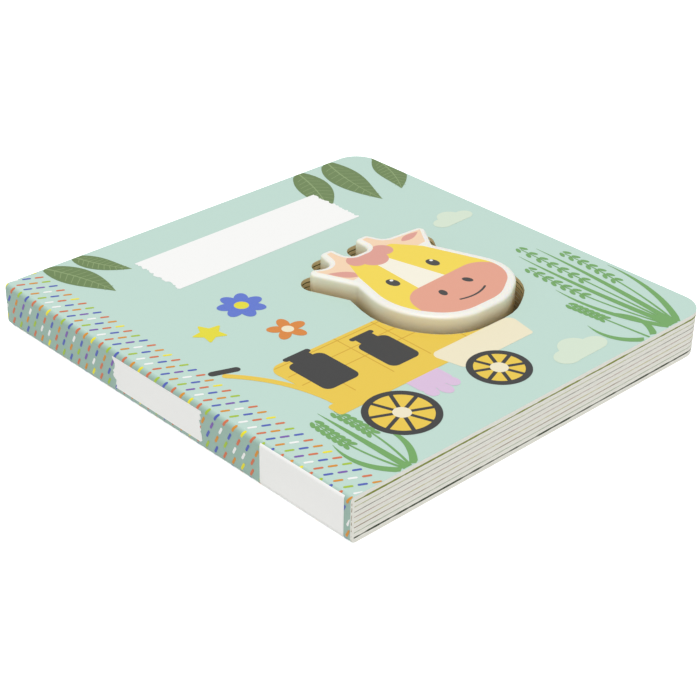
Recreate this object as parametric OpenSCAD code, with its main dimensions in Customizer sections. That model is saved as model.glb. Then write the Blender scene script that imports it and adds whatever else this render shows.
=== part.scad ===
// Squeaky board book. Seven thick leaves lie between two cover boards. Covers and
// leaves are die-cut with one window in the outline of a cow's head, and the head, a
// hollow squeezable vinyl moulding, is glued to the back cover and stands up through
// all of them. A reed whistle sits in its base and breathes out under the head.
// The book lies on its back cover: spine towards -X, tail towards -Y, millimetres.

/* [Book] */
// Width from the outside of the spine to the fore-edge
book_w = 180; // [165:1:240]
// Height from the tail to the head
book_h = 184.5; // [160:0.5:260]
// Number of leaves between the two covers
leaf_n = 7; // [5:1:10]
// Thickness that each leaf or cover board takes up in the closed book
board_t = 1.95; // [1.6:0.05:2.6]
// Width of the fine opening beside each leaf
slit_t = 0.12; // [0.08:0.01:0.3]
// Radius of the two rounded fore-edge corners
corner_r = 10.5; // [3:0.5:20]

/* [Spine] */
// Thickness of the card that wraps the spine
card_t = 0.5; // [0.3:0.05:1.4]
// Depth of the sheet folds that join the leaves behind the card
fold_t = 1.1; // [0.6:0.1:2.5]
// Outer radius of the fold between the front cover and the spine
front_fold_r = 1.6; // [0.5:0.1:1.9]
// Outer radius of the fold between the back cover and the spine
back_fold_r = 3; // [0.5:0.1:4]

/* [Head] */
// Distance from the outside of the spine to the middle of the cheeks
head_x = 115; // [106:0.5:120]
// Distance from the tail of the book to the chin
head_y = 47.5; // [30:0.5:58]
// Height that the head stands above the front cover
stand_h = 5.2; // [3:0.1:12]
// Width from cheek to muzzle, before both are rounded
cheek_w = 63; // [61:0.5:66]
// Height of the cheek above the chin
cheek_y = 21; // [20:0.5:23]
// Radius of the cheek
cheek_r = 28; // [22:0.5:28]
// Height of the muzzle's side above the chin
muzzle_y = 13.5; // [12:0.5:16]
// Radius of the muzzle's side
muzzle_r = 17.5; // [13:0.5:18]
// Width of the chin, before it is rounded
chin_w = 25.5; // [24:0.5:29]
// Radius of the chin's two corners
chin_r = 21.5; // [16:0.5:21.5]
// How far the top of the head lies back from the muzzle
lean = 7; // [4:0.5:8]
// How much higher the head's features stand on the muzzle's side
tilt = 4.5; // [2:0.5:5.5]
// Radius of the rounded rim round the top of the head
rim_r = 1.5; // [0.6:0.1:2]
// Wall thickness of the vinyl
wall_t = 1.8; // [1.2:0.1:2]
// Thickness of the base that is glued down
base_t = 3.2; // [3:0.1:4]

/* [Ears and horns] */
// Width of the brow just below the ears
brow_w = 44; // [42:0.5:46]
// Height of the ears' roots above the chin
brow_y = 45.5; // [44:0.5:47]
// Radius between the brow and an ear
brow_r = 2.5; // [2:0.5:5]
// Width from ear tip to ear tip, before they are rounded
ear_span = 63; // [60:0.5:67]
// Height of the ear tips above the chin
ear_y = 64; // [62.5:0.5:66]
// Radius of an ear tip
ear_r = 2.6; // [2.1:0.1:2.8]
// Height of the poll, the top of the head between the horns, above the chin
poll_y = 61; // [59.5:0.5:62.5]
// Width of the poll
poll_w = 11; // [10:0.5:12]
// Radius between the poll and a horn
poll_r = 3.6; // [2:0.1:3.8]
// Width from the middle of one horn to the middle of the other
horn_span = 18; // [17.5:0.5:20]
// Width of a horn's tip, before it is rounded
horn_w = 6.2; // [4.8:0.1:6.8]
// Height of the horns above the poll
horn_h = 9.5; // [9:0.5:13]
// Radius of the two corners of a horn's tip
horn_r = 2.1; // [2.1:0.1:2.6]
// How far the foot of a horn spreads towards the ear
horn_foot = 6; // [5:0.5:7]
// Radius between an ear and a horn
foot_r = 4.2; // [2:0.1:4.4]

/* [Window] */
// Clearance all round the head
window_gap = 3.4; // [2.4:0.1:3.9]

/* [Whistle] */
// Distance from the chin to the middle of the whistle
whistle_y = 25; // [20:0.5:32]
// Radius of the whistle sleeve
sleeve_r = 6; // [5:0.1:8]
// Wall thickness of the sleeve
sleeve_wall = 1.3; // [0.8:0.1:1.5]
// Length of the sleeve above its flange
sleeve_len = 10; // [8:0.5:12]
// How far the flange stands out beyond the sleeve
flange_lip = 1.5; // [1:0.1:3]
// Thickness of the flange
flange_t = 0.7; // [0.5:0.1:1]
// Height of the air space between the whistle and the back cover
air_h = 1.4; // [1.4:0.1:1.8]
// Radius of the air hole that runs out under the chin
air_r = 0.6; // [0.4:0.05:0.65]
// How far the snap ridge on the sleeve stands out
snap_lip = 0.5; // [0.3:0.1:0.8]
// Radius of the air groove along the shallot
throat_r = 1.9; // [1.2:0.1:2.2]
// Thickness of the reed
reed_t = 0.2; // [0.1:0.05:0.4]
// Running clearance between the parts of the whistle
fit_gap = 0.05; // [0.02:0.01:0.1]

/* [Hidden] */
$fn = 64;

book_t = (leaf_n + 2) * board_t;
spine_x = -book_w / 2;
tail_y = -book_h / 2;
front_z = book_t - board_t;
block_x = spine_x + card_t;

// The head rises from the back cover. While the leaves turn about the foot of the
// spine, a point at its top lies this much nearer to the spine than at its bottom.
// Where the clearance leaves less than the margin beside it, the windows are drawn
// out towards the fore-edge by what is missing.
head_h = front_z + stand_h;
swing = pow(head_h, 2) / (2 * head_x);
swing_margin = 1;
draw_out = max(0, swing + swing_margin - window_gap);

arc_step = 12;
rim_steps = 2;
overcut = 1;

flange_r = sleeve_r + flange_lip;
bore_r = sleeve_r - sleeve_wall;
shallot_r = bore_r - fit_gap;
collar_h = 2.5;
shallot_len = sleeve_len - 1;
reed_w = 2 * throat_r + 2;
foot_z = board_t + air_h;

board_c = [0.79, 0.87, 0.84];
spine_c = [0.66, 0.78, 0.72];
page_c = [0.87, 0.87, 0.82];
vinyl_c = [0.94, 0.93, 0.89];
whistle_c = [0.9, 0.9, 0.9];
reed_c = [0.8, 0.65, 0.3];

// Outline of a rounded polygon. Each corner is [x, y, radius], counter-clockwise,
// and every arc keeps its centre when the outline is grown or shrunk.
function unit(v) = v / norm(v);
function left_turn(a, b) = a.x * b.y - a.y * b.x > 0;
function corner_arc(before, corner, after, grow) =
    let (
        tip = [corner.x, corner.y],
        from = unit([before.x, before.y] - tip),
        to = unit([after.x, after.y] - tip),
        half = acos(from * to) / 2,
        centre = tip + unit(from + to) * corner.z / sin(half),
        side = left_turn(-from, to) ? 1 : -1,
        radius = corner.z + side * grow,
        start = atan2(-from.y, -from.x) - side * 90,
        sweep = 180 - 2 * half,
        steps = max(2, ceil(sweep / arc_step))
    )
    [for (i = [0:steps])
        let (a = start + side * sweep * i / steps)
        centre + radius * [cos(a), sin(a)]];
function rounded(corners, grow = 0) =
    let (n = len(corners))
    [for (i = [0:n - 1])
        each corner_arc(corners[(i + n - 1) % n], corners[i], corners[(i + 1) % n], grow)];

// One side of the head from its brow up to the poll: 1 is the muzzle's side, -1 the other
function brow_to_poll(side) = [
    [side * brow_w / 2 - lean / 2, brow_y + side * tilt / 2, brow_r],
    [side * ear_span / 2 - lean / 2, ear_y - side * tilt / 2, ear_r],
    [side * (horn_span / 2 + horn_foot) - lean, poll_y + side * tilt / 2, foot_r],
    [side * (horn_span + horn_w) / 2 - lean, poll_y + horn_h, horn_r],
    [side * (horn_span - horn_w) / 2 - lean, poll_y + horn_h, horn_r],
    [side * poll_w / 2 - lean, poll_y, poll_r]
];
function head_corners() =
    let (far_side = brow_to_poll(-1), last = len(far_side) - 1)
    concat(
        [[chin_w / 2 - lean / 2, 0, chin_r], [cheek_w / 2, muzzle_y, muzzle_r]],
        brow_to_poll(1),
        [for (i = [last:-1:0]) far_side[i]],
        [[-cheek_w / 2, cheek_y, cheek_r], [-chin_w / 2 - lean / 2, 0, chin_r]]);

// Closed skin through rings of equal length, each ring a flat list at its own height
module skin(outlines, heights) {
    per_ring = len(outlines[0]);
    rings = len(outlines);
    points = [for (k = [0:rings - 1]) for (p = outlines[k]) [p.x, p.y, heights[k]]];
    floor_face = [for (i = [0:per_ring - 1]) i];
    roof_face = [for (i = [per_ring - 1:-1:0]) (rings - 1) * per_ring + i];
    wall_faces = [for (k = [0:rings - 2]) for (i = [0:per_ring - 1])
        let (
            a = k * per_ring + i,
            b = k * per_ring + (i + 1) % per_ring
        )
        each [[a, b + per_ring, b], [a, a + per_ring, b + per_ring]]];
    polyhedron(points, concat([floor_face, roof_face], wall_faces), convexity = 6);
}

// Outside of the head: upright walls and a rounded rim round its flat top, with the
// foot planed off level
module head_solid() {
    turns = [for (i = [0:rim_steps]) 90 * i / rim_steps];
    outlines = concat(
        [rounded(head_corners())],
        [for (a = turns) rounded(head_corners(), rim_r * (cos(a) - 1))]);
    heights = concat([-overcut], [for (a = turns) head_h + rim_r * (sin(a) - 1)]);
    difference() {
        skin(outlines, heights);
        translate([-book_w / 2, -book_h / 2, -2 * overcut])
            cube([book_w, 1.5 * book_h, 2 * overcut]);
    }
}

module at_head() {
    translate([spine_x + head_x, tail_y + head_y, 0]) children();
}

module at_whistle() {
    translate([spine_x + head_x, tail_y + head_y + whistle_y, 0]) children();
}

// Board outline: square corners at the spine, rounded ones at the fore-edge
module board_outline(left_x) {
    hull() {
        translate([left_x, tail_y])
            square([1, book_h]);
        for (side = [-1, 1])
            translate([book_w / 2 - corner_r, side * (book_h / 2 - corner_r)])
                circle(corner_r);
    }
}

// The window is the head's outline, grown by the gap and drawn out where it must be
module window_outline() {
    at_head()
        minkowski() {
            polygon(rounded(head_corners()));
            hull() {
                circle(window_gap, $fn = 24);
                translate([draw_out, 0])
                    circle(window_gap, $fn = 24);
            }
        }
}

// Everything of the cover that lies inside the rounded folds at the spine
module fold_envelope() {
    translate([0, book_h / 2, 0])
        rotate([90, 0, 0])
            linear_extrude(book_h)
                hull() {
                    translate([spine_x + back_fold_r, back_fold_r])
                        circle(back_fold_r);
                    translate([spine_x + front_fold_r, book_t - front_fold_r])
                        circle(front_fold_r);
                    translate([book_w / 2 - 1, 0])
                        square([1, book_t]);
                }
}

module front_cover() {
    color(board_c)
        intersection() {
            translate([0, 0, front_z])
                linear_extrude(board_t)
                    difference() {
                        board_outline(spine_x);
                        window_outline();
                    }
            fold_envelope();
        }
}

module back_cover() {
    color(board_c)
        intersection() {
            linear_extrude(board_t)
                board_outline(spine_x);
            fold_envelope();
        }
}

module cover_spine() {
    color(spine_c)
        intersection() {
            translate([spine_x, tail_y, board_t])
                cube([card_t, book_h, front_z - board_t]);
            fold_envelope();
        }
}

// One block, cut from the fore-edge into leaves that stay joined by their folds
module page_block() {
    color(page_c)
        difference() {
            translate([0, 0, board_t])
                linear_extrude(front_z - board_t)
                    difference() {
                        board_outline(block_x);
                        window_outline();
                    }
            for (i = [1:leaf_n])
                translate([block_x + fold_t, tail_y - overcut, (i + 1) * board_t - slit_t])
                    cube([book_w, book_h + 2 * overcut, i < leaf_n ? slit_t : slit_t + overcut]);
        }
}

module squeaker_head() {
    color(vinyl_c)
        difference() {
            at_head()
                translate([0, 0, board_t])
                    head_solid();
            at_head()
                translate([0, 0, board_t + base_t])
                    linear_extrude(head_h - base_t - wall_t)
                        polygon(rounded(head_corners(), -wall_t));
            at_whistle() {
                translate([0, 0, board_t - overcut])
                    cylinder(r = sleeve_r + fit_gap, h = base_t + 2 * overcut);
                translate([0, 0, board_t - overcut])
                    cylinder(r = flange_r + fit_gap, h = air_h + flange_t + overcut);
                translate([0, 0, board_t + air_h / 2])
                    rotate([90, 0, 0])
                        cylinder(r = air_r, h = whistle_y + overcut);
            }
        }
}

// Turned profile: flange under the base, snap ridge above it, straight bore
module whistle_sleeve() {
    snap_z = base_t - air_h + fit_gap;
    color(whistle_c)
        at_whistle()
            translate([0, 0, foot_z])
                rotate_extrude()
                    polygon([
                        [bore_r, 0],
                        [flange_r, 0],
                        [flange_r, flange_t],
                        [sleeve_r, flange_t],
                        [sleeve_r, snap_z],
                        [sleeve_r + snap_lip, snap_z],
                        [sleeve_r, snap_z + 2 * snap_lip],
                        [sleeve_r, sleeve_len],
                        [bore_r, sleeve_len]
                    ]);
}

// Half-round plug: a full collar at its foot, then a flat with the air groove in it
module whistle_shallot() {
    color(whistle_c)
        at_whistle()
            translate([0, 0, foot_z])
                difference() {
                    cylinder(r = shallot_r, h = shallot_len);
                    translate([-shallot_r, -shallot_r, collar_h])
                        cube([2 * shallot_r, shallot_r, shallot_len]);
                    translate([0, 0, -overcut])
                        cylinder(r = throat_r, h = shallot_len - 1 + overcut);
                    translate([-reed_w / 2, -reed_t - fit_gap, 1])
                        cube([reed_w, reed_t + fit_gap, collar_h]);
                }
}

// Thin tongue, rooted in the collar and lying over the air groove
module whistle_reed() {
    color(reed_c)
        at_whistle()
            translate([-reed_w / 2 + fit_gap, -reed_t, foot_z + 1])
                cube([reed_w - 2 * fit_gap, reed_t, shallot_len - 1.5]);
}

front_cover();
cover_spine();
back_cover();
page_block();
squeaker_head();
whistle_sleeve();
whistle_shallot();
whistle_reed();
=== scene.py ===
# %% [markdown]
# # A squeaky board book
#
# The book is seven thick leaves between two cover boards, all die-cut with one window, and a
# soft vinyl head that stands up through it. The solids, their places and the two hinges come
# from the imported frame. This notebook gives them their finishes, prints the card, models the
# vinyl head and sets the light. The first cell loads the frame and must come first.

# %% Load the frame
import math
import random

import bmesh
import bpy
from mathutils import Matrix, Vector
from mathutils.geometry import delaunay_2d_cdt


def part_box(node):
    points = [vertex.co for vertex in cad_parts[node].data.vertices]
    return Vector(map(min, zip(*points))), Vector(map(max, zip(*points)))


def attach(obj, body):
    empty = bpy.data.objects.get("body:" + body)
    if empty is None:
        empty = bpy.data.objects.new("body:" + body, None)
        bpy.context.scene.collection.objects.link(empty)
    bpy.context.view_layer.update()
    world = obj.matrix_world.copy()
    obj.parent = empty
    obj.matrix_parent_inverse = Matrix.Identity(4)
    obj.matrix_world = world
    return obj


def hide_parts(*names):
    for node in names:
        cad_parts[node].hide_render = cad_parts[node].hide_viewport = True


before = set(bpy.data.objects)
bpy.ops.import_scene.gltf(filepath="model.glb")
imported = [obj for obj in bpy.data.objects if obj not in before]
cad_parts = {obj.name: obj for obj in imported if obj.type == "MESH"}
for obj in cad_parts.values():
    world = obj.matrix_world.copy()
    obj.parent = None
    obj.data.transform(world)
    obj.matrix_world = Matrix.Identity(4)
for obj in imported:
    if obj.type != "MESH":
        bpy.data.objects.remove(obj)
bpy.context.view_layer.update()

MM = 0.001

# %% [markdown]
# ## Places on the book
#
# A print designer measures from the edges of the closed book, so the drawings below are in
# millimetres from the spine and the tail. The corners of the solids come from the frame, so
# nothing has to be fitted by eye. Only the radii of the two folds are written out again.

# %% Edges of the book, in metres
cover_low, cover_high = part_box("front_cover")
back_low, back_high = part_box("back_cover")
head_low, head_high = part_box("squeaker_head")
SPINE_X, FORE_X = cover_low.x, cover_high.x
TAIL_Y, HEAD_Y = cover_low.y, cover_high.y
FRONT_Z, TOP_Z = cover_low.z, cover_high.z
BACK_Z = back_high.z
BOARD_T = TOP_Z - FRONT_Z
FRONT_FOLD_R = 1.6 * MM
BACK_FOLD_R = 3.0 * MM
BOOK_W = (FORE_X - SPINE_X) / MM
BOOK_H = (HEAD_Y - TAIL_Y) / MM
print("closed book", round(BOOK_W, 1), "x", round(BOOK_H, 1), "x", round(TOP_Z / MM, 2), "mm")

# %% [markdown]
# ## Camera
#
# The book is seen from its tail and spine corner, from 30 degrees above the table. The lens is
# a short tele, so that the far edges close in only a little. The camera is set by the point it
# looks at, its distance, its two angles and a slight roll.

# %% Camera
VIEW_AZIMUTH = math.radians(-44.1366)
VIEW_ELEVATION = math.radians(30.3343)
VIEW_ROLL = math.radians(1.0832)
VIEW_DISTANCE = 636.0 * MM
LENS_LENGTH = 89.3
SENSOR_WIDTH = 36.0
LOOK_AT = Vector((SPINE_X + 82.09 * MM, TAIL_Y + 86.17 * MM, 0.0))

across = Vector((math.cos(VIEW_AZIMUTH), math.sin(VIEW_AZIMUTH), 0.0))
towards = Vector((math.sin(VIEW_AZIMUTH) * math.cos(VIEW_ELEVATION),
                  -math.cos(VIEW_AZIMUTH) * math.cos(VIEW_ELEVATION),
                  math.sin(VIEW_ELEVATION)))
upward = towards.cross(across)
right = math.cos(VIEW_ROLL) * across + math.sin(VIEW_ROLL) * upward
up = math.cos(VIEW_ROLL) * upward - math.sin(VIEW_ROLL) * across
place = Matrix((right, up, towards)).transposed().to_4x4()
place.translation = LOOK_AT + towards * VIEW_DISTANCE

camera_data = bpy.data.cameras.new("camera")
camera_data.lens = LENS_LENGTH
camera_data.sensor_width = SENSOR_WIDTH
camera_data.sensor_fit = "HORIZONTAL"
camera = bpy.data.objects.new("camera", camera_data)
camera.matrix_world = place
bpy.context.scene.collection.objects.link(camera)
bpy.context.scene.camera = camera
print("camera stands", round(place.translation.z / MM), "mm above the table")

# %% [markdown]
# ## Colours and nodes
#
# Colours are written as sRGB hex values, as a printer reads them off a proof. Shaders work in
# linear light, so one function turns them over. A second function adds a node with its settings
# and links, so that a material reads as a short list of what it is made of.

# %% Colour and node helpers
def linear(hex_value):
    """An sRGB hex colour as linear red, green, blue and alpha."""
    channels = [int(hex_value[i:i + 2], 16) / 255 for i in (0, 2, 4)]
    return [c / 12.92 if c <= 0.04045 else ((c + 0.055) / 1.055) ** 2.4 for c in channels] + [1.0]


def add(tree, kind, inputs=None, **settings):
    """Add a shader node. inputs maps a socket's name or number to a value or another socket."""
    node = tree.nodes.new("ShaderNode" + kind)
    for key, value in settings.items():
        setattr(node, key, value)
    for socket, value in (inputs or {}).items():
        if isinstance(value, bpy.types.NodeSocket):
            tree.links.new(value, node.inputs[socket])
        else:
            node.inputs[socket].default_value = value
    return node


def start_material(name):
    """An empty material and its node tree."""
    material = bpy.data.materials.new(name)
    material.use_nodes = True
    material.node_tree.nodes.clear()
    return material, material.node_tree


# %% [markdown]
# ## Table, air and light
#
# The book lies on a white sweep under a large soft lamp at the left, with light from all
# round. The sum is set so that a colour seen from above renders about as it is written. The
# sweep shows white to the camera and to reflections, and a glow that only the camera sees keeps
# the book's shadow faint. To diffuse light it is a little greyer, as a real sweep is.

# %% White sweep
FLOOR_SIZE = 4.0
SWEEP_SEEN = "FFFFFF"
SWEEP_BOUNCE = "DCDCDA"
SWEEP_GLOW = 0.7
SWEEP_ROUGHNESS = 0.9

sweep_material, tree = start_material("matt_paper_sweep")
rays = add(tree, "LightPath")
seen = add(tree, "Math", {0: rays.outputs["Is Camera Ray"], 1: rays.outputs["Is Glossy Ray"]},
           operation="MAXIMUM")
seen = add(tree, "Math", {0: seen.outputs[0], 1: rays.outputs["Is Transmission Ray"]},
           operation="MAXIMUM")
tone = add(tree, "Mix", {0: seen.outputs[0], 6: linear(SWEEP_BOUNCE), 7: linear(SWEEP_SEEN)},
           data_type="RGBA")
glow = add(tree, "Math", {0: rays.outputs["Is Camera Ray"], 1: SWEEP_GLOW}, operation="MULTIPLY")
paper = add(tree, "BsdfPrincipled", {"Base Color": tone.outputs[2], "Roughness": SWEEP_ROUGHNESS,
                                     "Specular IOR Level": 0.0, "Emission Color": linear("FFFFFF"),
                                     "Emission Strength": glow.outputs[0]})
add(tree, "OutputMaterial", {0: paper.outputs[0]})

floor_data = bpy.data.meshes.new("floor")
half = FLOOR_SIZE / 2
floor_data.from_pydata([(-half, -half, 0), (half, -half, 0), (half, half, 0), (-half, half, 0)],
                       [], [(0, 1, 2, 3)])
floor = bpy.data.objects.new("floor", floor_data)
floor_data.materials.append(sweep_material)
bpy.context.scene.collection.objects.link(floor)

# %% Lamp and surrounding light
SKY_LEVEL = 0.58
LAMP_LEVEL = 1.44
LAMP_SIZE = math.radians(38)
LAMP_FROM = Vector((-0.32, -0.2, 0.92))

lamp_data = bpy.data.lights.new("soft_lamp", "SUN")
lamp_data.energy = LAMP_LEVEL
lamp_data.angle = LAMP_SIZE
lamp = bpy.data.objects.new("soft_lamp", lamp_data)
lamp.rotation_euler = LAMP_FROM.to_track_quat("Z", "Y").to_euler()
bpy.context.scene.collection.objects.link(lamp)

world = bpy.data.worlds.new("studio")
world.use_nodes = True
world.node_tree.nodes.clear()
rays = add(world.node_tree, "LightPath")
level = add(world.node_tree, "MapRange",
            {0: rays.outputs["Is Camera Ray"], 3: SKY_LEVEL, 4: 1.0})
sky = add(world.node_tree, "Background", {"Color": linear("FFFFFF"), "Strength": level.outputs[0]})
add(world.node_tree, "OutputWorld", {0: sky.outputs[0]})
bpy.context.scene.world = world
bpy.context.scene.view_settings.view_transform = "Standard"
lamp_share = LAMP_LEVEL * LAMP_FROM.normalized().z / math.pi
print("light on a level white card", round(SKY_LEVEL + lamp_share, 2))

# %% [markdown]
# ## Laminated print
#
# The card is offset-printed and covered with a thin matt film. The film gives a soft, even
# sheen and hides the paper's fibres, and the ink under it has a very fine mottle. The mottle of
# a real print is about 0.1 mm, too fine to show here, so it is drawn at 0.4 mm. The film itself
# has a faint orange peel that breaks up reflections.

# %% Ink under matt film
INK_MOTTLE = 0.4 * MM
FILM_WAVE = 1.5 * MM
FILM_PEEL = 0.05 * MM
FILM_ROUGHNESS = 0.45
FILM_IOR = 1.49


def mottled(tree, colour, coords, strength=0.03):
    """The colour with the fine light and dark of printed ink."""
    grain = add(tree, "TexNoise", {"Vector": coords, "Scale": 1 / INK_MOTTLE, "Detail": 2.0})
    level = add(tree, "MapRange", {0: grain.outputs[0], 3: 1 - strength, 4: 1 + strength})
    return add(tree, "Mix", {0: 1.0, 6: colour, 7: level.outputs[0]},
               data_type="RGBA", blend_type="MULTIPLY").outputs[2]


def film_bump(tree, coords):
    """The faint orange peel of laminating film, as a normal."""
    wave = add(tree, "TexNoise", {"Vector": coords, "Scale": 1 / FILM_WAVE, "Detail": 1.0})
    return add(tree, "Bump", {"Strength": 0.06, "Distance": FILM_PEEL,
                              "Height": wave.outputs[0]}).outputs[0]


def laminated_ink(name, hex_value):
    """Offset ink under matt film, for one flat colour."""
    material, tree = start_material("laminated_ink_" + name)
    coords = add(tree, "TexCoord").outputs["Object"]
    shader = add(tree, "BsdfPrincipled", {
        "Base Color": mottled(tree, linear(hex_value), coords),
        "Normal": film_bump(tree, coords),
        "Roughness": FILM_ROUGHNESS,
        "IOR": FILM_IOR})
    add(tree, "OutputMaterial", {0: shader.outputs[0]})
    return material


MINT = "C3DFD4"
MINT_SPINE = "9DBDB0"
INKS = {
    "paper_white": "FBFBF9",
    "leaf_green": "6C8650",
    "leaf_vein": "8FA871",
    "grass_green": "74AB62",
    "straw_yellow": "EECB48",
    "straw_shade": "D9AC2E",
    "bright_yellow": "E9DF30",
    "charcoal": "383838",
    "cream": "F3EACB",
    "lilac": "DFC3E1",
    "cloud": "DAE9D4",
    "flower_blue": "5F78D2",
    "flower_orange": "DE8838",
    "stitch_orange_red": "DA7248",
    "stitch_orange": "DE9226",
    "stitch_lime": "A9C932",
    "stitch_blue": "4F60BC",
    "stitch_purple": "7E5AB2",
    "stitch_yellow": "F3E823",
    "stitch_white": "FAFAF8",
}
ink = {name: laminated_ink(name, value) for name, value in INKS.items()}
print("mixed", len(ink), "inks")

# %% [markdown]
# ## Board
#
# Covers and leaves are white board, printed on both faces and cut by a steel rule. Three kinds
# of surface meet on one board: the mint cover print outside, the printed pages, and the raw cut
# edge. The shader tells them apart by which way the face looks, because a cut edge always stands
# upright. The page print folds round the lip of each cut a little, so every opening shows as a
# thin coloured line along the edge. The walls of the window were cut through the whole stack.
# There the raw edge is painted a warm khaki for the light bounced off the cream vinyl, with
# painted shade darkening it towards the foot, and the openings show as pale lines.

# %% Page colours, and how strongly each opening shows at the edge
OPENINGS = [
    ("8F9A36", 1.4), ("CFD2A2", 0.4), ("A5A397", 0.42), ("C9B2A6", 0.38),
    ("CFC98A", 0.4), ("A8917A", 0.42), ("AFC0A0", 0.36), ("2C3A20", 1.4)]
WINDOW_OPENINGS = [
    ("2E3820", 1.1), ("7A7644", 0.9), ("FFF6D6", 0.9), ("FFF6D6", 0.9),
    ("FFF6D6", 0.9), ("FFF6D6", 0.9), ("FFF6D6", 0.9), ("FFF6D6", 0.9)]
LINE_HALF = 0.27 * MM
LINE_RISE = 0.1 * MM
LINE_FROM = 1.6 * MM
WORN_STEP = 6 * MM
EDGE_FIBRE = 0.5 * MM
CUT_EDGE = "FAF9F0"
GLUE = "8C7650"
GLUE_X = 0.5 * MM
GLUE_BEAD = 1.2 * MM
GLUE_HALF = 0.16 * MM
# Window walls: a warm khaki painted for light bounced off the cream vinyl, darker at the foot as
# painted shade.
WINDOW_BOUNCE_TOP = "F0DDAA"
WINDOW_SHADE_FOOT = "CDB076"
WINDOW_MARGIN = 12 * MM
DOT_STEP = 15 * MM
DOT_SIZE = 0.16
SKIN = 0.05 * MM
FLAT_TURN = 0.3
CUT_ROUGHNESS = 0.85


def calculate(tree, operation, a, b=0.0):
    """One Math node, as a socket."""
    return add(tree, "Math", {0: a, 1: b}, operation=operation).outputs[0]


def over(tree, mask, under, top):
    """The top colour where the mask is 1, else the one under it."""
    return add(tree, "Mix", {0: mask, 6: under, 7: top}, data_type="RGBA").outputs[2]


def page_print(tree, height, openings):
    """The colour of the opening nearest to this height, and how strongly it shows."""
    share = add(tree, "MapRange", {0: height, 1: BACK_Z - BOARD_T / 2, 2: FRONT_Z + BOARD_T / 2})
    ramp = add(tree, "ValToRGB", {0: share.outputs[0]})
    ramp.color_ramp.interpolation = "CONSTANT"
    stops = ramp.color_ramp.elements
    while len(stops) < len(openings):
        stops.new(0.5)
    for i, (hex_value, strength) in enumerate(reversed(openings)):
        stops[i].position = i / len(openings)
        stops[i].color = linear(hex_value)[:3] + [strength]
    return ramp.outputs[0], ramp.outputs[1]


def opening_lines(tree, coords, height, strength):
    """A mask that is 1 on the thin line where two boards meet."""
    step = calculate(tree, "DIVIDE", calculate(tree, "SUBTRACT", height, LINE_RISE), BOARD_T)
    offset = calculate(tree, "SUBTRACT", step, calculate(tree, "ROUND", step))
    gap = calculate(tree, "MULTIPLY", calculate(tree, "ABSOLUTE", offset), BOARD_T)
    worn = add(tree, "TexNoise", {"Vector": coords, "Scale": 1 / WORN_STEP, "Detail": 3.0})
    width = add(tree, "MapRange", {0: worn.outputs[0], 1: 0.3, 2: 0.6,
                                   3: 0.3 * LINE_HALF, 4: LINE_HALF})
    width = calculate(tree, "MULTIPLY", width.outputs[0], strength)
    line = calculate(tree, "LESS_THAN", gap, width)
    low = calculate(tree, "GREATER_THAN", height, BACK_Z / 2)
    high = calculate(tree, "LESS_THAN", height, FRONT_Z + BOARD_T / 2)
    return calculate(tree, "MULTIPLY", line, calculate(tree, "MULTIPLY", low, high))


def cut_edge(tree, coords, x, height, window):
    """Raw board with fine fibres along it: white, with a line of glue, or with painted bounce and
    shade.
    """
    fibre_coords = add(tree, "Mapping", {0: coords, 3: (1, 1, 6)}).outputs[0]
    fibres = add(tree, "TexNoise", {"Vector": fibre_coords, "Scale": 1 / (4 * EDGE_FIBRE),
                                    "Detail": 4.0})
    shade = add(tree, "MapRange", {0: fibres.outputs[0], 1: 0.3, 2: 0.7, 3: 0.94, 4: 1.03})
    # In the window the raw edge takes painted bounce light at the top and painted shade towards the
    # foot.
    depth = add(tree, "MapRange", {0: height, 1: BACK_Z, 2: TOP_Z})
    bounce_and_shade = over(tree, depth.outputs[0], linear(WINDOW_SHADE_FOOT), linear(WINDOW_BOUNCE_TOP))
    beads = add(tree, "TexNoise", {"Vector": coords, "Scale": 1 / GLUE_BEAD, "Detail": 1.0})
    bead = add(tree, "MapRange", {0: beads.outputs[0], 1: 0.4, 2: 0.6, 3: 0.0, 4: GLUE_HALF})
    from_glue = calculate(tree, "ABSOLUTE", calculate(tree, "SUBTRACT", x, SPINE_X + GLUE_X))
    glued = calculate(tree, "LESS_THAN", from_glue, bead.outputs[0])
    white = over(tree, glued, linear(CUT_EDGE), linear(GLUE))
    return add(tree, "Mix", {0: 1.0, 6: over(tree, window, white, bounce_and_shade), 7: shade.outputs[0]},
               data_type="RGBA", blend_type="MULTIPLY").outputs[2]


def page_face(tree, coords, page):
    """A printed page: its colour with scattered lighter dots."""
    dots = add(tree, "TexVoronoi", {"Vector": coords, "Scale": 1 / DOT_STEP, "Randomness": 0.6},
               voronoi_dimensions="2D")
    dot = calculate(tree, "LESS_THAN", dots.outputs[0], DOT_SIZE)
    lighter = over(tree, 0.4, page, linear("FFFFFF"))
    return mottled(tree, over(tree, dot, page, lighter), coords)


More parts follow.
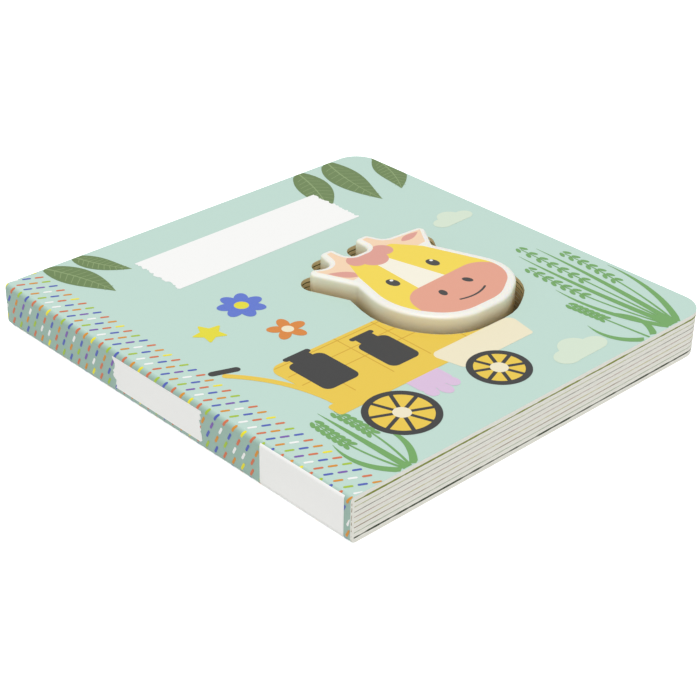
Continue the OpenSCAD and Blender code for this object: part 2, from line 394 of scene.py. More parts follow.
def printed_board():
    """Board with its cover print, its page print and its cut edges."""
    material, tree = start_material("laminated_printed_board")
    texture = add(tree, "TexCoord")
    coords = texture.outputs["Object"]
    x, y, z = add(tree, "SeparateXYZ", {0: coords}).outputs
    facing_x, _, facing_z = add(tree, "SeparateXYZ", {0: texture.outputs["Normal"]}).outputs

    flat = calculate(tree, "GREATER_THAN", calculate(tree, "ABSOLUTE", facing_z), FLAT_TURN)
    upper = calculate(tree, "GREATER_THAN", z, TOP_Z - SKIN)
    lower = calculate(tree, "LESS_THAN", z, SKIN)
    cover_face = calculate(tree, "MULTIPLY", flat, calculate(tree, "MAXIMUM", upper, lower))
    near_spine = calculate(tree, "LESS_THAN", x, SPINE_X + BACK_FOLD_R)
    looks_out = calculate(tree, "LESS_THAN", facing_x, -0.05)
    spine_face = calculate(tree, "MULTIPLY", near_spine, looks_out)
    cover = calculate(tree, "MAXIMUM", cover_face, spine_face)
    in_x = calculate(tree, "LESS_THAN", calculate(tree, "ABSOLUTE", x), FORE_X - WINDOW_MARGIN)
    in_y = calculate(tree, "LESS_THAN", calculate(tree, "ABSOLUTE", y), HEAD_Y - WINDOW_MARGIN)
    window = calculate(tree, "MULTIPLY", in_x, in_y)

    page, strength = page_print(tree, z, OPENINGS)
    wall_page, wall_strength = page_print(tree, z, WINDOW_OPENINGS)
    strength = add(tree, "Mix", {0: window, 2: strength, 3: wall_strength}).outputs[0]
    lines = opening_lines(tree, coords, z, strength)
    past_glue = calculate(tree, "GREATER_THAN", x, SPINE_X + LINE_FROM)
    lines = calculate(tree, "MULTIPLY", lines, past_glue)
    raw = cut_edge(tree, coords, x, z, window)
    edge = over(tree, lines, raw, over(tree, window, page, wall_page))
    inner = over(tree, flat, edge, page_face(tree, coords, page))
    turned = calculate(tree, "ABSOLUTE", facing_x)
    mint = over(tree, turned, linear(MINT), linear(MINT_SPINE))
    colour = over(tree, cover, inner, mottled(tree, mint, coords))
    filmed = calculate(tree, "MAXIMUM", flat, cover)
    roughness = add(tree, "MapRange", {0: filmed, 3: CUT_ROUGHNESS, 4: FILM_ROUGHNESS})
    shader = add(tree, "BsdfPrincipled", {
        "Base Color": colour, "Roughness": roughness.outputs[0],
        "Normal": film_bump(tree, coords), "IOR": FILM_IOR})
    add(tree, "OutputMaterial", {0: shader.outputs[0]})
    return material


def finish_node(name, material):
    """Give a solid of the frame its material."""
    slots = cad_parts[name].data.materials
    slots.clear()
    slots.append(material)


board = printed_board()
for node_name in ("front_cover", "cover_spine", "back_cover", "page_block"):
    finish_node(node_name, board)

# %% [markdown]
# ## How a print is laid on the card
#
# The cover is one printed sheet that runs from the front cover round the spine to the back. A
# print is drawn flat on that sheet. Its x is the distance from the spine edge of the front
# cover, and below 0 it runs on round the fold, down the spine and under the back cover. The
# drawing is cut into triangles, then cut again where the sheet bends and where a hinge parts
# it, and every part rides on the body that carries it. Each colour is a closed film 0.02 mm
# thick, so it looks the same from all sides.

# %% The sheet's path round the spine, in metres
FILM_LIFT = 0.03 * MM
FILM_T = 0.02 * MM
ARC_STEPS = 10
QUARTER = math.pi / 2
FOLD_TOP = FRONT_FOLD_R
FOLD_END = FOLD_TOP - QUARTER * FRONT_FOLD_R
FOOT_START = FOLD_END - (TOP_Z - FRONT_FOLD_R - BACK_FOLD_R)
FOOT_END = FOOT_START - QUARTER * BACK_FOLD_R
FRONT_HINGE = FOLD_END - (TOP_Z - FRONT_FOLD_R - FRONT_Z)
BACK_HINGE = FOOT_START - BACK_FOLD_R * math.asin(1 - BACK_Z / BACK_FOLD_R)
SHEET_PARTS = {
    "front": (FRONT_HINGE, 1.0),
    "leaves": (BACK_HINGE, FRONT_HINGE),
    "back": (-1.0, BACK_HINGE),
}
BENDS = ([FOLD_TOP - QUARTER * FRONT_FOLD_R * i / ARC_STEPS for i in range(ARC_STEPS + 1)]
         + [FOOT_START - QUARTER * BACK_FOLD_R * i / ARC_STEPS for i in range(ARC_STEPS + 1)])


def on_sheet(x, y, lift):
    """The point at x, y on the wrapped sheet, raised by lift."""
    if x >= FOLD_TOP:
        across, height, out, up = x, TOP_Z, 0.0, 1.0
    elif x >= FOLD_END:
        angle = (FOLD_TOP - x) / FRONT_FOLD_R
        out, up = -math.sin(angle), math.cos(angle)
        across, height = FRONT_FOLD_R * (1 + out), TOP_Z - FRONT_FOLD_R * (1 - up)
    elif x >= FOOT_START:
        across, height, out, up = 0.0, TOP_Z - FRONT_FOLD_R - (FOLD_END - x), -1.0, 0.0
    elif x >= FOOT_END:
        angle = (FOOT_START - x) / BACK_FOLD_R
        out, up = -math.cos(angle), -math.sin(angle)
        across, height = BACK_FOLD_R * (1 + out), BACK_FOLD_R * (1 + up)
    else:
        across, height, out, up = BACK_FOLD_R + FOOT_END - x, 0.0, 0.0, -1.0
    return Vector((SPINE_X + across + lift * out, TAIL_Y + y, height + lift * up))


print("the sheet runs", round((FORE_X - SPINE_X - FOOT_END) / MM, 1), "mm before it turns under")

# %% Cutting drawings into faces
def inside(point, loop):
    """Is the point within the closed loop?"""
    x, y = point
    crossings = 0
    for (x0, y0), (x1, y1) in zip(loop, loop[1:] + loop[:1]):
        if (y0 > y) != (y1 > y) and x < x0 + (y - y0) * (x1 - x0) / (y1 - y0):
            crossings += 1
    return crossings % 2 == 1


def cut_up(loops):
    """Triangles between all the edges of the loops."""
    points, edges = [], []
    for loop in loops:
        first = len(points)
        points += [Vector(p) for p in loop]
        ring = list(range(first, first + len(loop)))
        edges += list(zip(ring, ring[1:] + ring[:1]))
    made = delaunay_2d_cdt(points, edges, [], 0, 1e-4)
    return [[tuple(made[0][i]) for i in face] for face in made[2]]


def middle_of(polygon):
    """The mean of a polygon's corners."""
    return tuple(sum(corner[i] for corner in polygon) / len(polygon) for i in (0, 1))


def boxed(loop):
    """A loop with its own bounds, which rule out most points at once."""
    xs, ys = [x for x, _ in loop], [y for _, y in loop]
    return loop, min(xs), max(xs), min(ys), max(ys)


def covered(point, boxed_loops):
    """Does any of the loops hold the point?"""
    x, y = point
    return any(x0 <= x <= x1 and y0 <= y <= y1 and inside(point, loop)
               for loop, x0, x1, y0, y1 in boxed_loops)


def paint(drawing, holes=()):
    """Polygons for each ink of a drawing, a list of (ink, loops). The later ink lies on top."""
    shapes = [(colour, [boxed(loop) for loop in loops]) for colour, loops in drawing]
    bare = [boxed(hole) for hole in holes]
    painted = {}
    for polygon in cut_up([loop for _, loops in drawing for loop in loops] + list(holes)):
        middle = middle_of(polygon)
        found = [colour for colour, loops in shapes if covered(middle, loops)]
        if found and not covered(middle, bare):
            painted.setdefault(found[-1], []).append(polygon)
    return painted


def clip(polygon, low, high):
    """The part of a convex polygon between two values of x."""
    for limit, sign in ((low, 1), (high, -1)):
        kept = []
        for a, b in zip(polygon, polygon[1:] + polygon[:1]):
            a_in, b_in = sign * (a[0] - limit) >= 0, sign * (b[0] - limit) >= 0
            if a_in:
                kept.append(a)
            if a_in != b_in:
                share = (limit - a[0]) / (b[0] - a[0])
                kept.append((limit, a[1] + share * (b[1] - a[1])))
        polygon = kept
        if len(polygon) < 3:
            return []
    return polygon


def print_film(name, polygons, colour, body, layer=0):
    """A closed film of ink from convex polygons in mm on the sheet, where it rides on body."""
    low, high = SHEET_PARTS[body]
    cuts = sorted([low, high] + [x for x in BENDS if low < x < high])
    mesh = bmesh.new()
    corners, edges = {}, {}
    heights = (FILM_LIFT + layer * FILM_T, FILM_LIFT + (layer + 1) * FILM_T)

    def corner(point, side):
        key = (round(point[0] * 1e6), round(point[1] * 1e6), side)
        if key not in corners:
            corners[key] = mesh.verts.new(on_sheet(point[0], point[1], heights[side]))
        return corners[key]

    for polygon in polygons:
        in_metres = [(x * MM, y * MM) for x, y in polygon]
        for start, end in zip(cuts, cuts[1:]):
            part = clip(in_metres, start, end)
            tops = list(dict.fromkeys(corner(p, 1) for p in part))
            lows = list(dict.fromkeys(corner(p, 0) for p in part))
            if len(tops) < 3 or len(lows) != len(tops) or mesh.faces.get(tops):
                continue
            mesh.faces.new(tops)
            mesh.faces.new(lows[::-1])
            for i, top in enumerate(tops):
                after = (i + 1) % len(tops)
                edges[(top, tops[after])] = (lows[i], lows[after])
    for (top, after), (low_corner, low_after) in edges.items():
        if (after, top) not in edges:
            mesh.faces.new((after, top, low_corner, low_after))
    loose = [v for v in mesh.verts if not v.link_faces]
    bmesh.ops.delete(mesh, geom=loose, context="VERTS")
    if not mesh.faces:
        mesh.free()
        return None
    return carry(name, mesh, [ink[colour]], body)


def carry(name, mesh, materials, body):
    """Turn a bmesh into a piece with its materials, riding on a body."""
    data = bpy.data.meshes.new(name)
    mesh.to_mesh(data)
    mesh.free()
    for material in materials:
        data.materials.append(material)
    piece = bpy.data.objects.new(name, data)
    bpy.context.scene.collection.objects.link(piece)
    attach(piece, body)
    return piece


def print_drawing(name, drawing, bodies=("front",), holes=(), layer=0):
    """Lay a drawing on the card, one film for each ink and body."""
    for colour, polygons in paint(drawing, holes).items():
        for body in bodies:
            print_film(f"{name}_{colour}_{body}", polygons, colour, body, layer)


# %% [markdown]
# ## The head's outline, which also shapes the window
#
# The head and the window through the boards have one outline, a polygon whose corners are
# rounded by arcs. The head leans back from its muzzle, so its two sides differ. The same
# corners serve twice: for the vinyl wall, and grown by the clearance for the window, which
# keeps the cover's print clear of the opening.

# %% Head and window outlines
HEAD_CORNERS = [
    (9.25, 0.0, 21.5), (31.5, 13.5, 17.5),
    (18.5, 47.75, 2.5), (28.0, 61.75, 2.6), (8.0, 63.25, 4.2),
    (5.1, 70.5, 2.1), (-1.1, 70.5, 2.1), (-1.5, 61.0, 3.6),
    (-12.5, 61.0, 3.6), (-12.9, 70.5, 2.1), (-19.1, 70.5, 2.1),
    (-22.0, 58.75, 4.2), (-35.0, 66.25, 2.6), (-25.5, 43.25, 2.5),
    (-31.5, 21.0, 28.0), (-16.25, 0.0, 21.5)]
WINDOW_GAP = 3.4


def rounded(corners, grow=0.0, step=5.0):
    """Outline of a polygon with corners (x, y, radius) rounded by arcs, moved out by grow."""
    outline = []
    for i, (x, y, radius) in enumerate(corners):
        tip = Vector((x, y))
        before = (Vector(corners[i - 1][:2]) - tip).normalized()
        after = (Vector(corners[(i + 1) % len(corners)][:2]) - tip).normalized()
        half = before.angle(after) / 2
        inward = (before + after).normalized() / math.sin(half)
        side = 1 if (-before).cross(after) > 0 else -1
        reach = radius + side * grow
        if reach <= 0:
            outline.append(tuple(tip - inward * side * grow))
            continue
        centre = tip + inward * radius
        start = math.atan2(-before.y, -before.x) - side * QUARTER
        sweep = math.pi - 2 * half
        steps = max(2, math.ceil(math.degrees(sweep) / step))
        for k in range(steps + 1):
            angle = start + side * sweep * k / steps
            outline.append((centre.x + reach * math.cos(angle), centre.y + reach * math.sin(angle)))
    return outline


def shifted(loop, dx, dy):
    """The loop, moved."""
    return [(x + dx, y + dy) for x, y in loop]


outline = rounded(HEAD_CORNERS)
CHIN = Vector((head_low.x - SPINE_X, head_low.y - TAIL_Y)) / MM
CHIN -= Vector((min(x for x, _ in outline), min(y for _, y in outline)))
window = [shifted(rounded(HEAD_CORNERS, WINDOW_GAP + 0.1), CHIN.x, CHIN.y)]
wide = max(x for x, _ in outline) - min(x for x, _ in outline)
print("head", round(wide, 1), "mm wide, solid", round((head_high.x - head_low.x) / MM, 1))
print("chin at", round(CHIN.x, 2), round(CHIN.y, 2), "mm from the spine and the tail")

# %% [markdown]
# ## Simple shapes for the drawings
#
# Picture-book shapes are cut-paper shapes: ovals, almonds, tapered blades, bands with round
# ends and rounded blocks. Each helper returns one closed loop of points, and a drawing is a
# list of loops in one ink.

# %% Ovals, almonds, blades and bands
def oval(x, y, wide, high, turn=0.0, count=36):
    """An oval round x, y, given its full width and height, turned by degrees."""
    c, s = math.cos(math.radians(turn)), math.sin(math.radians(turn))
    loop = []
    for i in range(count):
        angle = 2 * math.pi * i / count
        u, v = wide / 2 * math.cos(angle), high / 2 * math.sin(angle)
        loop.append((x + c * u - s * v, y + s * u + c * v))
    return loop


def spine_line(start, end, bend, count):
    """Points along a bow from start to end, bent to the left by bend."""
    start, end = Vector(start), Vector(end)
    left = (end - start).normalized().orthogonal()
    middle = (start + end) / 2 + left * bend * 2
    return [(1 - t) ** 2 * start + 2 * t * (1 - t) * middle + t * t * end
            for t in (i / count for i in range(count + 1))]


def widened(line, widths):
    """A closed loop of the given half widths along a line of points."""
    left, right = [], []
    for i, point in enumerate(line):
        ahead = line[min(i + 1, len(line) - 1)] - line[max(i - 1, 0)]
        side = ahead.normalized().orthogonal() * widths[i]
        left.append(tuple(point + side))
        right.append(tuple(point - side))
    return right + left[::-1]


def almond(start, end, wide, bend=0.0, count=16):
    """A leaf blade, pointed at both ends and widest a little before its middle."""
    line = spine_line(start, end, bend, count)
    shares = [i / count for i in range(count + 1)]
    return widened(line, [wide / 2 * math.sin(math.pi * t ** 0.8) + 0.02 for t in shares])


def blade(start, end, wide, bend=0.0, count=14):
    """A blade of grass, broad at its foot and pointed at its tip."""
    line = spine_line(start, end, bend, count)
    return widened(line, [wide / 2 * (1 - (i / count) ** 2) + 0.05 for i in range(count + 1)])


def band(start, end, wide, bend=0.0, count=12):
    """A line with round ends."""
    line = spine_line(start, end, bend, count if bend else 1)
    loop = widened(line, [wide / 2] * len(line))
    half = len(line)
    out = (line[-1] - line[-2]).normalized() * wide / 2
    back = (line[0] - line[1]).normalized() * wide / 2
    turns = [Matrix.Rotation(math.radians(a), 2) for a in (-60, -30, 0, 30, 60)]
    tip = [tuple(line[-1] + turn @ out) for turn in turns]
    tail = [tuple(line[0] + turn @ back) for turn in turns]
    return loop[:half] + tip + loop[half:] + tail


def block(x, y, wide, high, radius=0.6):
    """A rounded rectangle from its lower left corner."""
    return rounded([(x, y, radius), (x + wide, y, radius),
                    (x + wide, y + high, radius), (x, y + high, radius)], step=15)


# %% [markdown]
# ## Stitched band at the spine
#
# A band of running stitches in bright colours runs round the spine from one cover to the other.
# It is a common decorative pattern: columns of short slanting dashes, half a row apart, each
# with its own order of colours.

# %% Stitches
STITCH_LONG = 3.3
STITCH_WIDE = 1.0
STITCH_SLOPE = Vector((3.1, -1.6)).normalized()
ROW_STEP = 4.48
COLUMN_STEP = 4.15
FIRST_COLUMN = 12.17
BAND_EDGE = 13.7
STITCH_COLUMNS = [
    (180.2, ["orange_red", "lime", "blue", "orange_red", "orange", "yellow"]),
    (182.3, ["blue", "orange", "purple", "white", "blue", "orange_red"]),
    (179.9, ["orange_red", "blue", "orange", "lime", "white", "white",
             "orange_red", "blue", "orange", "lime", "purple", "white"])]


def clipped_to_cover(loop):
    """The loop held within the edges of the cover."""
    return [(min(x, BOOK_W - 0.3), min(max(y, 0.25), BOOK_H - 0.25)) for x, y in loop]


half_stitch = STITCH_SLOPE * (STITCH_LONG - STITCH_WIDE) / 2
under_edge = (FOOT_END + BACK_FOLD_R) / MM - BAND_EDGE
stitches = {}
column_x = FIRST_COLUMN
column = 0
while column_x - STITCH_LONG / 2 > under_edge:
    first_y, colours = STITCH_COLUMNS[column % len(STITCH_COLUMNS)]
    for row in range(-1, int(BOOK_H / ROW_STEP) + 2):
        middle = Vector((column_x, first_y - row * ROW_STEP))
        if -0.4 < middle.y < BOOK_H + 0.4:
            dash = band(middle - half_stitch, middle + half_stitch, STITCH_WIDE)
            stitches.setdefault(colours[row % len(colours)], []).append(clipped_to_cover(dash))
    column += 1
    column_x -= COLUMN_STEP
for colour, dashes in stitches.items():
    for body in SHEET_PARTS:
        print_film("stitches_" + colour + "_" + body, dashes, "stitch_" + colour, body)
print("stitched", sum(len(dashes) for dashes in stitches.values()), "dashes in", column, "columns")

# %% [markdown]
# ## Paper labels
#
# A white strip with torn ends stands on the front and a smaller one on the spine, and a plain
# white block at the foot of the spine. All three are part of the print, and are bare here. A
# torn end is a row of uneven points, drawn from a fixed seed so that it is the same each time.

# %% Torn strips and the plain block
TORN_STEP = 0.8
TORN_DEPTH = 3.4
TITLE_STRIP = (46.5, 138.5, 88.5, 27.0)
SPINE_STRIP = (3.2, 73, 12.2, 44)
SPINE_BLOCK = (0.3, 2.9, 16.9, 39.1)


def torn_end(dice, breadth):
    """Depth and place of each point along a torn end: a slow wave with fine teeth on it."""
    count = max(6, round(breadth / TORN_STEP))
    wave = [dice.uniform(0.2, 0.8) for _ in range(5)]
    points = []
    for i in range(count + 1):
        part, share = divmod(4 * i / (count + 1), 1)
        slow = wave[int(part)] * (1 - share) + wave[int(part) + 1] * share
        points.append((TORN_DEPTH * (slow + dice.uniform(-0.2, 0.2)), breadth * i / count))
    return points


def torn_strip(x, y, wide, high, torn_along_x, seed):
    """A strip whose two short ends are torn."""
    dice = random.Random(seed)
    length, breadth = (wide, high) if torn_along_x else (high, wide)
    near = [(-u, v) for u, v in torn_end(dice, breadth)][::-1]
    far = [(length + u, v) for u, v in torn_end(dice, breadth)]
    if torn_along_x:
        return [(x + u, y + v) for u, v in near + far]
    return [(x + breadth - v, y + u) for u, v in near + far]


spine_top = (FOLD_END + FRONT_FOLD_R - TOP_Z) / MM
title_strip = torn_strip(*TITLE_STRIP, True, 4)
spine_strip = torn_strip(spine_top + SPINE_STRIP[0], *SPINE_STRIP[1:], False, 9)
spine_block = block(spine_top + SPINE_BLOCK[0], *SPINE_BLOCK[1:], 0.2)
print_drawing("spine_strip", [("paper_white", [spine_strip])], SHEET_PARTS, layer=1)
print_drawing("spine_block", [("paper_white", [spine_block])], SHEET_PARTS, layer=1)
print("labels laid")

# %% [markdown]
# ## Picture on the cover
#
# The picture is one flat drawing, a list of inks with their shapes, and every place takes the
# ink that was drawn there last, as in a print. Broad leaves hang into the two far corners, and
# grass with small ears stands at the foot. Between them stand a yellow farm wagon with two dark
# churns, pale clouds, a star and two flowers. Where the window was cut, the print ends.

# %% Broad leaves
def broad_leaf(start, end, wide, bend):
    """One leaf as its blade and its veins."""
    line = spine_line(start, end, bend, 12)
    veins = [widened(line, [0.35 - 0.02 * i for i in range(13)])]
    for i in range(2, 11):
        ahead = (line[i + 1] - line[i - 1]).normalized()
        out = ahead.orthogonal() * wide * 0.4 * math.sin(math.pi * (i / 12) ** 0.8)
        for side in (-1, 1):
            veins.append(band(line[i], line[i] + side * out + ahead * wide * 0.18, 0.25))
    return almond(start, end, wide, bend), veins


LEAF_PLACES = [
    ((17, 186), (27, 153), 12.5, 1.5), ((31, 187), (42, 163), 9.5, -1.5),
    ((146, 187), (131, 150), 14.0, 2.0), ((163, 187), (155, 144), 14.5, -2.0),
    ((181, 176), (168, 146), 12.5, 2.0)]
leaves = []
for place in LEAF_PLACES:
    leaf, veins = broad_leaf(*place)
    leaves.append(("leaf_green", [clipped_to_cover(leaf)]))
    leaves.append(("leaf_vein", [clipped_to_cover(vein) for vein in veins]))
print("drew", len(LEAF_PLACES), "leaves")


# %% Grass with ears
def tuft(x, reach, count, lean, tall):
    """A fan of thin blades from one foot at the tail edge, every other one with an ear."""
    loops = []
    for i in range(count):
        share = i / (count - 1) * 2 - 1
        foot = Vector((x + 2.5 * share, 0.5))
        top = Vector((x + reach * share + lean, tall * (1 - 0.4 * share * share)))
        if i % 2 == 0:
            loops.append(blade(foot, top, 2.6, -4 * share))
            continue
        line = spine_line(foot, top, -4 * share, 14)
        loops.append(widened(line, [0.5 - 0.02 * k for k in range(15)]))
        for k in range(8, 15):
            ahead = (line[k] - line[k - 1]).normalized()
            for side in (-1, 1):
                grain = line[k] + ahead.orthogonal() * side * 1.4
                turn = math.degrees(math.atan2(ahead.y, ahead.x)) - side * 24
                loops.append(oval(grain.x, grain.y, 3.6, 1.7, turn, 16))
    return loops


grass = [clipped_to_cover(loop) for loop in
         tuft(25, 9, 5, 0, 42) + tuft(160, 15, 7, 3, 76) + tuft(146, 7, 3, -3, 34)]
print("grew", len(grass), "blades and grains")

# %% Wagon
WHEELS = [(46, 24, 27), (91, 22, 23)]
planks = [block(33, 51 + 7 * i, 76, 0.5, 0.2) for i in range(1, 4)]
stakes = [block(x, 44, 0.5, 30, 0.2) for x in (44, 62, 80, 98)]
axles = [block(x - 4, y, 8, 20, 1) for x, y, _ in WHEELS]
spokes = []
for x, y, size in WHEELS:
    for i in range(4):
        arm = Vector((size * 0.41, 0))
        arm.rotate(Matrix.Rotation(math.radians(20 + 45 * i), 2))
        spokes.append(band(Vector((x, y)) - arm, Vector((x, y)) + arm, 1.5))
wagon = [
    ("lilac", [block(60, 27, 15, 16, 3), oval(62.5, 26.5, 5, 6), oval(67.5, 25, 5, 7),
               oval(72.5, 26.5, 5, 6)]),
    ("straw_shade", axles),
    ("straw_yellow", [band((34, 46), (18, 80), 2.6, -3), block(30, 36, 82, 7, 1.5),
                      rounded([(33, 41, 3), (114, 41, 3), (114, 74, 4), (31, 74, 5)])]),
    ("straw_shade", planks + stakes),
    ("cream", [rounded([(82, 30, 1.5), (118, 30, 1.5), (121, 44, 3), (79, 44, 3)])]),
    ("charcoal", [block(37, 50, 16, 21, 3), block(40.5, 69, 9, 5, 1.2), block(39, 73, 12, 2.4, 1.1),
                  block(64, 46, 14, 19, 3), block(67, 64, 8, 5, 1.2), block(65.5, 68, 11, 2.2, 1.0),
                  band((15.5, 84), (23.5, 81), 3.0)]),
    ("charcoal", [oval(x, y, size, size, 0, 60) for x, y, size in WHEELS]),
    ("straw_yellow", [oval(x, y, size - 5, size - 5, 0, 48) for x, y, size in WHEELS]),
    ("charcoal", spokes),
    ("cream", [oval(x, y, 6.5, 6.5) for x, y, _ in WHEELS])]
print("wagon drawn on", len(WHEELS), "wheels")


# %% Small motifs
def cloud(x, y, size):
    """A cloud, given its middle and its width."""
    return [oval(x - 0.28 * size, y, 0.44 * size, 0.36 * size),
            oval(x, y + 0.1 * size, 0.52 * size, 0.5 * size),
            oval(x + 0.28 * size, y, 0.44 * size, 0.34 * size),
            block(x - 0.28 * size, y - 0.17 * size, 0.56 * size, 0.2 * size, 0.05 * size)]


def star(x, y, size, points=5, turn=90.0):
    """A star with blunt points."""
    corners = []
    for i in range(2 * points):
        angle = math.radians(turn + 180 * i / points)
        reach = size / 2 if i % 2 == 0 else size * 0.25
        corners.append((x + reach * math.cos(angle), y + reach * math.sin(angle),
                        0.5 if i % 2 == 0 else 0.3))
    return rounded(corners, step=30)


def petals(x, y, size, count):
    """A ring of petals."""
    loops = []
    for i in range(count):
        angle = 2 * math.pi * i / count
        reach = 0.28 * size
        loops.append(oval(x + reach * math.cos(angle), y + reach * math.sin(angle),
                          0.46 * size, 0.3 * size, math.degrees(angle)))
    return loops


motifs = [
    ("cloud", cloud(163, 112, 20) + cloud(121, 11, 25)),
    ("bright_yellow", [star(32.5, 106, 14)]),
    ("flower_blue", petals(54, 114, 18, 7)),
    ("bright_yellow", [oval(54, 114, 5.5, 5.5)]),
    ("flower_orange", petals(55, 90, 15, 5)),
    ("cream", [oval(55, 90, 4.5, 4.5)])]
picture = leaves + [("paper_white", [title_strip]), ("grass_green", grass)] + motifs + wagon
print_drawing("cover", picture, holes=window, layer=1)
print("picture printed")

# %% [markdown]
# ## Soft vinyl
#
# The head is rotomoulded soft PVC: a thick skin with no seam on its face, slightly uneven, with
# a waxy, half-matt sheen. It is cream at the rim and yellower down its wall, most of all in the
# window; this is partly dust and partly painted shade and warm light bounced off the window's
# walls, and the foot is painted lighter against the shade of the slot. The face is printed on
# its top, so the print shares the sheen of the vinyl.

# %% Vinyl materials
VINYL_ROUGHNESS = 0.38
VINYL_IOR = 1.53
VINYL_WAVE = 6 * MM
VINYL_UNEVEN = 0.3 * MM
VINYL_GLOW = 0.35
VINYL_DEPTH = 3 * MM
DUST_AND_SHADE_FROM = TOP_Z - 6 * MM
# Wall tones by height: yellower downwards for dust, painted shade and bounce light, and lighter
# again at the foot as painted light against the slot's shade.
VINYL_TONES = [(0.0, "FAEBC0"), (0.5, "F0E4C0"), (0.9, "E8E4CE"), (0.96, "F6F4EC")]


def dust_and_shade_tone(tree, coords):
    """Cream at the rim, yellower further down the wall, for dust and painted shade and bounce
    light.
    """
    height = add(tree, "SeparateXYZ", {0: coords}).outputs[2]
    share = add(tree, "MapRange", {0: height, 1: DUST_AND_SHADE_FROM, 2: head_high.z})
    ramp = add(tree, "ValToRGB", {0: share.outputs[0]})
    stops = ramp.color_ramp.elements
    while len(stops) < len(VINYL_TONES):
        stops.new(0.5)
    for stop, (place_on_wall, hex_value) in zip(stops, VINYL_TONES):
        stop.position = place_on_wall
        stop.color = linear(hex_value)
    return ramp.outputs[0]


def vinyl(name, hex_value=None):
    """Soft PVC, printed in one colour, or plain with dust and painted shade down its wall."""
    material, tree = start_material("soft_pvc_" + name)
    coords = add(tree, "TexCoord").outputs["Object"]
    colour = linear(hex_value) if hex_value else dust_and_shade_tone(tree, coords)
    wave = add(tree, "TexNoise", {"Vector": coords, "Scale": 1 / VINYL_WAVE, "Detail": 2.0})
    bump = add(tree, "Bump", {"Strength": 0.25, "Distance": VINYL_UNEVEN,
                              "Height": wave.outputs[0]})
    shader = add(tree, "BsdfPrincipled", {
        "Base Color": mottled(tree, colour, coords, 0.015), "Normal": bump.outputs[0],
        "Roughness": VINYL_ROUGHNESS, "IOR": VINYL_IOR,
        "Subsurface Weight": 0.0 if hex_value else VINYL_GLOW,
        "Subsurface Radius": (1.0, 0.8, 0.5), "Subsurface Scale": VINYL_DEPTH})
    add(tree, "OutputMaterial", {0: shader.outputs[0]})
    return material


VINYL_INKS = {"yellow": "F8DC4A", "salmon": "E9A48C", "peach": "FAD9B6", "pink": "E3A193",
              "cream": "FBF6E3", "charcoal": "3C3A38", "white": "FCFCFA"}
vinyl_plain = vinyl("cream_skin")
vinyl_inks = {name: vinyl("print_" + name, value) for name, value in VINYL_INKS.items()}
print("mixed", len(vinyl_inks), "vinyl inks")

# %% [markdown]
# ## Vinyl head
#
# The wall is one outline lifted straight up, with a quarter-round rim round its flat top. The
# face is not laid on: its shapes are cut into the top's own triangles, and each triangle takes
# the ink of the last shape that covers it. The print stays further from the rim on the face
# than on the narrow ears and horns.

# %% Face, in millimetres from the chin
FACE_CORNERS = [
    (9.25, 0.0, 21.5), (31.5, 13.5, 17.5), (17.4, 50.7, 6.0), (8.0, 62.0, 6.0),
    (-19.0, 60.0, 6.0), (-24.4, 47.3, 6.0), (-31.5, 21.0, 28.0), (-16.25, 0.0, 21.5)]
face_edge = rounded(FACE_CORNERS, -3.2)
crest_edge = rounded(HEAD_CORNERS, -2.3)
crest = [(-40, 46.5), (-24, 46.5), (17, 51), (40, 51), (40, 80), (-40, 80)]
inner_ears = [almond((11.4, 57.2), (21.8, 58.8), 3.6), almond((-19.2, 47.2), (-28.0, 56.4), 4.6)]
locks = [oval(-12.5, 57.0, 9, 8, 30), oval(-6.5, 54.5, 12, 12), oval(0.5, 57.0, 9, 8, -30)]
blaze = rounded([(-11, 22, 3), (5, 22, 3), (-2.5, 52, 2.5), (-9, 52, 2.5)])
muzzle = rounded([(-26, -8, 14), (32, -6, 14), (23, 28, 11), (-20, 26, 11)])
eyes = [oval(-14.8, 35.5, 4.4, 6.0, 6), oval(7.6, 37.0, 4.4, 6.0, 6)]
glints = [oval(-14.0, 37.1, 1.4, 1.4, 0, 16), oval(8.4, 38.6, 1.4, 1.4, 0, 16)]
nostrils = [oval(-6.6, 18.0, 3.0, 4.4, -16), oval(7.4, 19.0, 3.0, 4.4, 24)]
smile = band((-5.5, 10.4), (8.5, 11.4), 0.9, -1.5)
FACE = [
    ("peach", crest_edge, [crest]),
    ("pink", crest_edge, inner_ears),
    ("yellow", face_edge, [rounded(FACE_CORNERS)]),
    ("cream", face_edge, [blaze]),
    ("salmon", face_edge, [muzzle]),
    ("pink", crest_edge, locks),
    ("charcoal", face_edge, eyes + nostrils + [smile]),
    ("white", face_edge, glints)]
FACE_BOXED = [(1 + list(VINYL_INKS).index(name), [boxed(edge)], [boxed(loop) for loop in loops])
              for name, edge, loops in FACE]
print("face drawn with", len(FACE), "layers")

# %% Head
RIM_R = 1.5
RIM_STEPS = 6
MOST_SMOOTH = 20
top_z = head_high.z / MM
foot_z = head_low.z / MM


def face_ink(point):
    """Number of the ink at a point of the top, 0 for plain vinyl."""
    found = [number for number, edge, loops in FACE_BOXED
             if covered(point, edge) and covered(point, loops)]
    return found[-1] if found else 0


def on_segment(point, start, end):
    """Does the point lie on the line between start and end?"""
    return (point - start).length + (end - point).length - (end - start).length < 1e-5


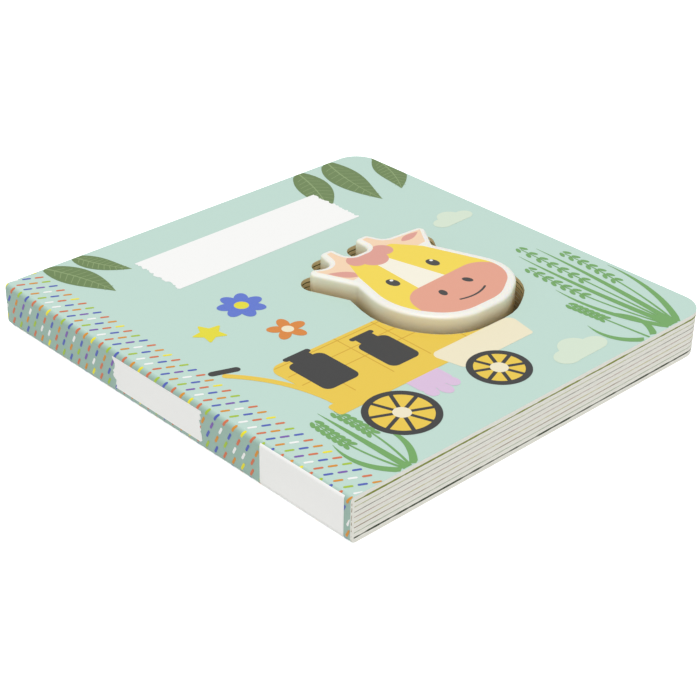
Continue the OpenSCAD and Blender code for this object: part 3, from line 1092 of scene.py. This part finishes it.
def vinyl_head():
    """The squeezable head as one closed skin."""
    mesh = bmesh.new()
    rings = [(0.0, foot_z), (0.0, top_z - 2 * RIM_R), (0.0, top_z - RIM_R)]
    for i in range(1, RIM_STEPS + 1):
        angle = QUARTER * i / RIM_STEPS
        rings.append((RIM_R * (math.cos(angle) - 1), top_z + RIM_R * (math.sin(angle) - 1)))
    loops = []
    for grow, height in rings:
        loops.append([mesh.verts.new((x, y, height)) for x, y in rounded(HEAD_CORNERS, grow)])
    for lower, higher in zip(loops, loops[1:-1]):
        for i, corner in enumerate(lower):
            after = (i + 1) % len(lower)
            mesh.faces.new((corner, lower[after], higher[after], higher[i]))
    mesh.faces.new(loops[0][::-1])

    rim = rounded(HEAD_CORNERS, -RIM_R)
    shapes = [face_edge, crest_edge] + [loop for _, _, drawn in FACE for loop in drawn]
    top = [boxed(rim)]
    corners = {(round(x, 3), round(y, 3)): vert for (x, y), vert in zip(rim, loops[-1])}
    for polygon in cut_up([rim] + shapes):
        middle = middle_of(polygon)
        if not covered(middle, top):
            continue
        points = []
        for x, y in polygon:
            key = (round(x, 3), round(y, 3))
            if key not in corners:
                corners[key] = mesh.verts.new((x, y, top_z))
            points.append(corners[key])
        if len(set(points)) == len(points):
            mesh.faces.new(points).material_index = face_ink(middle)

    lower, higher = loops[-2:]
    inner = [vert for vert in corners.values() if vert not in higher]
    for i, corner in enumerate(lower):
        after = (i + 1) % len(lower)
        start, end = higher[i].co.to_2d(), higher[after].co.to_2d()
        met = [vert for vert in inner if on_segment(vert.co.to_2d(), start, end)]
        met.sort(key=lambda vert: (vert.co.to_2d() - end).length)
        mesh.faces.new([corner, lower[after], higher[after]] + met + [higher[i]])
    return mesh


head_mesh = vinyl_head()
bmesh.ops.scale(head_mesh, vec=(MM, MM, MM), verts=head_mesh.verts)
bmesh.ops.translate(head_mesh, vec=(SPINE_X + CHIN.x * MM, TAIL_Y + CHIN.y * MM, 0),
                    verts=head_mesh.verts)
for face in head_mesh.faces:
    face.smooth = len(face.verts) < MOST_SMOOTH
open_edges = sum(1 for edge in head_mesh.edges if len(edge.link_faces) != 2)
print("head has", len(head_mesh.faces), "faces and", open_edges, "open edges")
head_inks = [vinyl_plain] + list(vinyl_inks.values())
head = carry("vinyl_head", head_mesh, head_inks, "back")
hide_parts("squeaker_head")

# %% [markdown]
# ## Whistle
#
# The reed whistle sits under the head and is hardly ever seen. Its sleeve and plug are
# injection-moulded polypropylene, and its reed is rolled brass with fine lines along it.

# %% Whistle materials
ROLL_LINE = 0.3 * MM
FLOW_MARK = 1.2 * MM
polypropylene, tree = start_material("moulded_polypropylene")
coords = add(tree, "TexCoord").outputs["Object"]
flow = add(tree, "TexNoise", {"Vector": coords, "Scale": 1 / FLOW_MARK, "Detail": 2.0})
bump = add(tree, "Bump", {"Strength": 0.1, "Distance": 0.05 * MM, "Height": flow.outputs[0]})
shader = add(tree, "BsdfPrincipled", {"Base Color": mottled(tree, linear("EDEDE8"), coords, 0.02),
                                      "Normal": bump.outputs[0], "Roughness": 0.4, "IOR": 1.49})
add(tree, "OutputMaterial", {0: shader.outputs[0]})

rolled_brass, tree = start_material("rolled_brass")
coords = add(tree, "TexCoord").outputs["Object"]
lines = add(tree, "TexWave", {"Vector": coords, "Scale": 1 / (20 * ROLL_LINE), "Distortion": 1.0})
shine = add(tree, "MapRange", {0: lines.outputs[1], 3: 0.28, 4: 0.4})
shader = add(tree, "BsdfPrincipled", {"Base Color": mottled(tree, linear("D6B25E"), coords, 0.03),
                                      "Metallic": 1.0, "Roughness": shine.outputs[0]})
add(tree, "OutputMaterial", {0: shader.outputs[0]})

finish_node("whistle_sleeve", polypropylene)
finish_node("whistle_shallot", polypropylene)
finish_node("whistle_reed", rolled_brass)
finish_node("squeaker_head", vinyl_plain)
